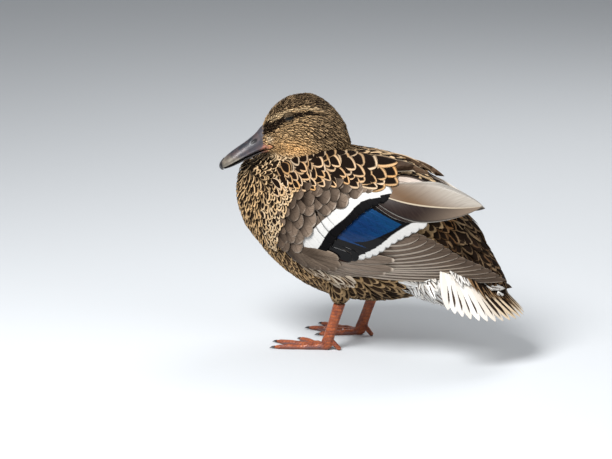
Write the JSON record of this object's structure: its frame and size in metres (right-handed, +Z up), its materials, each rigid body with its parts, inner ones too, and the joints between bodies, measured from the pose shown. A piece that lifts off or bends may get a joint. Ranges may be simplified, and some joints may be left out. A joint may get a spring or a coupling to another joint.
{
  "type": "duck",
  "caption": "Life-size standing hen duck with folded wings, webbed feet, a fanned tail and its head drawn in and turned a little to one side.",
  "frame": {"origin": "on the floor under the middle of the whole bird's box", "axes": "+Z up, the duck faces -Y, its left side is towards +X"},
  "size_m": [0.1326, 0.3096, 0.2548],
  "materials": {
    "plumage_over_flesh": "soft feathers over the muscle that gives the front of the body its weight",
    "brown_plumage": "soft feathers, matte, dark brown with paler edges",
    "buff_plumage": "soft feathers, matte, buff mottled brown",
    "tail_feathers": "matte off-white feathers with brown centres",
    "eye": "wet, glossy, dark brown",
    "bill": "satin slate grey skin over bone",
    "nail_horn": "satin black horn",
    "leg_skin": "satin orange scaled skin",
    "claw_horn": "satin dark horn",
    "scapulars": "matte feathers, near black with cream edges",
    "wing_coverts": "matte grey-brown feathers with paler tips",
    "speculum": "glossy blue feathers between black and white bars",
    "flight_feathers": "satin grey-brown quills and vanes",
    "tertials": "satin silvery brown vanes"
  },
  "bodies": {
    "root": {"back": "brown_plumage", "belly": "plumage_over_flesh", "bill_lower": "bill", "bill_nail": "nail_horn", "bill_upper": "bill", "breast": "plumage_over_flesh", "claw_left_hind": "claw_horn", "claw_left_inner": "claw_horn", "claw_left_middle": "claw_horn", "claw_left_outer": "claw_horn", "claw_right_hind": "claw_horn", "claw_right_inner": "claw_horn", "claw_right_middle": "claw_horn", "claw_right_outer": "claw_horn", "eye_left": "eye", "eye_right": "eye", "foot_left": "leg_skin", "foot_right": "leg_skin", "head": "plumage_over_flesh", "hind_belly": "buff_plumage", "mantle": "plumage_over_flesh", "neck": "plumage_over_flesh", "rump": "brown_plumage", "shank_left": "leg_skin", "shank_right": "leg_skin", "tail_left": "tail_feathers", "tail_middle": "tail_feathers", "tail_right": "tail_feathers", "thigh_left": "plumage_over_flesh", "thigh_right": "plumage_over_flesh", "under_tail_coverts": "tail_feathers", "upper_tail_coverts": "brown_plumage", "vent": "buff_plumage", "wing_left_coverts": "wing_coverts", "wing_left_primaries": "flight_feathers", "wing_left_scapulars": "scapulars", "wing_left_speculum": "speculum", "wing_left_tertials": "tertials", "wing_right_coverts": "wing_coverts", "wing_right_primaries": "flight_feathers", "wing_right_scapulars": "scapulars", "wing_right_speculum": "speculum", "wing_right_tertials": "tertials"}
  },
  "joints": []
}
